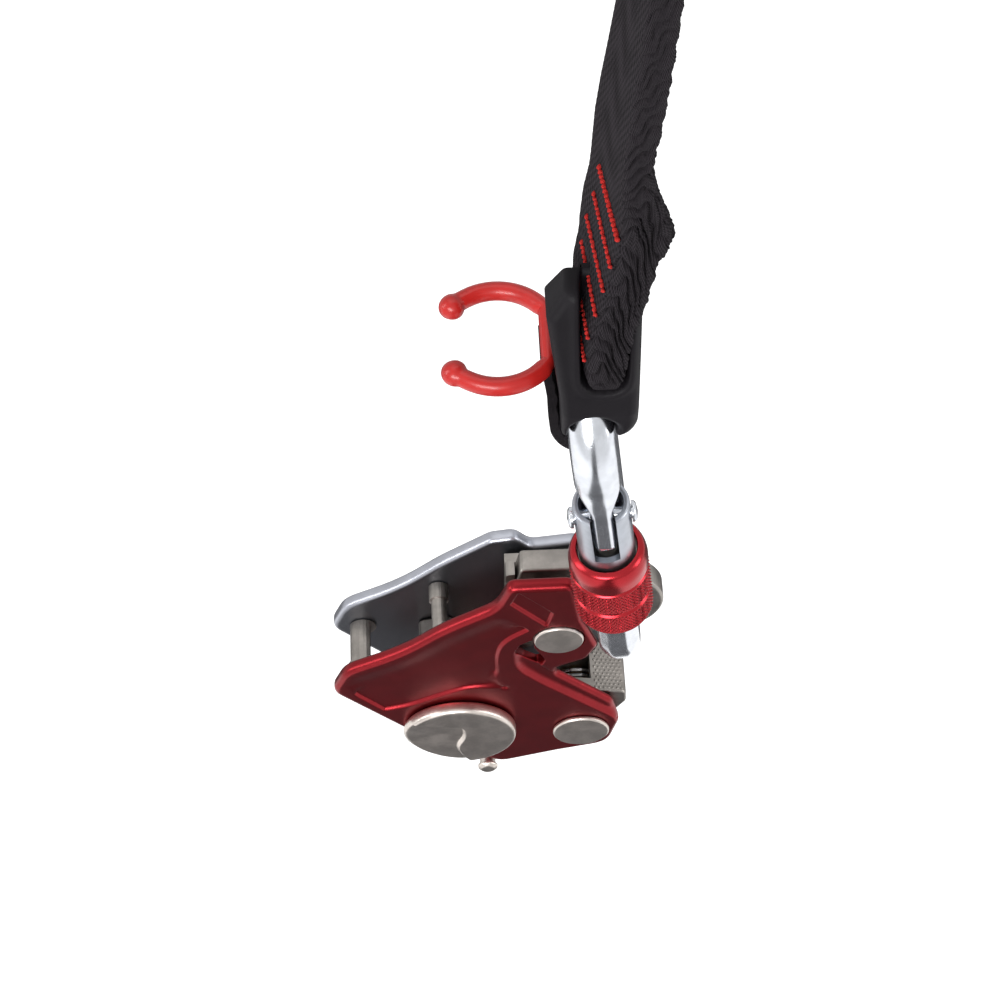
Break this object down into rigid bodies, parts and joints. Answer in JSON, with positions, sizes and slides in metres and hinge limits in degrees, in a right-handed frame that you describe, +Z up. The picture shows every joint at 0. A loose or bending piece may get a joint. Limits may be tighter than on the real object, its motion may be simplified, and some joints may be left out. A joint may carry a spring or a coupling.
{
  "type": "rope grab ascender",
  "caption": "Hinged-plate rope-grab ascender with cam arm, selector knob and spring catch, with a screw-sleeve carabiner and the sewn end of its webbing lanyard in a rubber keeper.",
  "frame": {"origin": "on the axis of the rope channel, level with the main axle", "axes": "+Z up along the rope, +X from the rope towards the arm's eye, -Y towards the hinged front plate (Y is the axle's direction)"},
  "size_m": [0.0807, 0.051, 0.3244],
  "materials": {
    "red_anodised": "satin red anodised",
    "grey_anodised": "satin grey anodised",
    "stainless": "matte stainless steel, tumbled or turned",
    "bronze": "plain bearing bronze",
    "spring_steel": "bare spring wire",
    "bright_zinc": "bright zinc-plated steel",
    "red_plastic": "moulded red plastic",
    "black_rubber": "smooth moulded black rubber",
    "black_webbing": "woven black elastic tube webbing with red stitching"
  },
  "bodies": {
    "frame": {"rear_plate": "grey_anodised", "main_axle": "stainless", "front_spacer": "stainless", "rear_spacer": "stainless", "guide_pin": "stainless", "stop_post": "stainless", "pivot_rivet": "stainless", "pivot_bush": "bronze", "anvil": "stainless", "anvil_pin": "stainless", "lower_guide": "stainless", "catch_spring": "spring_steel"},
    "cover": {"front_plate": "red_anodised", "axle_cap": "stainless", "stop_pin": "stainless"},
    "knob": {"knob": "stainless", "knob_spindle": "stainless", "selector_cam": "bronze"},
    "arm": {"arm": "stainless", "axle_bush": "bronze", "cam": "stainless", "cam_pin_1": "stainless", "cam_pin_2": "stainless"},
    "catch": {"catch": "stainless"},
    "carabiner": {"carabiner_body": "bright_zinc", "gate_pin": "bright_zinc", "rubber_keeper": "black_rubber", "rope_clip": "red_plastic", "webbing": "black_webbing"},
    "gate": {"gate_tube": "bright_zinc", "gate_plunger": "stainless", "gate_spring": "spring_steel"},
    "sleeve_nut": {"sleeve_insert": "stainless"},
    "sleeve": {"lock_sleeve": "red_anodised"}
  },
  "joints": [
    {"name": "cover_swing", "type": "hinge", "parent": "frame", "child": "cover", "pos_m": [0.025, 0, -0.0481], "axis": [0, -1, 0], "range_deg": [0, 100]},
    {"name": "knob_turn", "type": "hinge", "parent": "cover", "child": "knob", "pos_m": [-0.0061, 0, -0.0436], "axis": [0, 1, 0], "range_deg": [0, 90]},
    {"name": "arm_pivot", "type": "hinge", "parent": "frame", "child": "arm", "pos_m": [0.0183, 0, 0], "axis": [0, 1, 0], "range_deg": [-4, 16]},
    {"name": "catch_press", "type": "hinge", "parent": "frame", "child": "catch", "pos_m": [0.025, 0, -0.0481], "axis": [0, 1, 0], "range_deg": [0, 10], "stiffness_Nm_per_rad": 0.15, "springref_deg": -17.19},
    {"name": "carabiner_swing", "type": "hinge", "parent": "arm", "child": "carabiner", "pos_m": [0.0324, 0, 0.0038], "axis": [-0.0209, 0.9998, 0], "range_deg": [-8, 95]},
    {"name": "gate_open", "type": "hinge", "parent": "carabiner", "child": "gate", "pos_m": [0.0257, -0.01864, 0.06902], "axis": [0.9939, 0.0208, 0.108], "range_deg": [0, 22], "stiffness_Nm_per_rad": 0.06, "springref_deg": -28.65},
    {"name": "sleeve_travel", "type": "slide", "parent": "gate", "child": "sleeve_nut", "axis": [0.108, 0.0023, -0.9942], "range_m": [0, 0.0065]},
    {"name": "sleeve_turn", "type": "hinge", "parent": "sleeve_nut", "child": "sleeve", "pos_m": [0.02985, -0.01856, 0.03084], "axis": [0.108, 0.0023, -0.9942], "range_deg": [0, 780]}
  ],
  "couplings": [
    {"joint": "sleeve_travel", "follows": "sleeve_turn", "m_per_rad": 0.00047746}
  ]
}
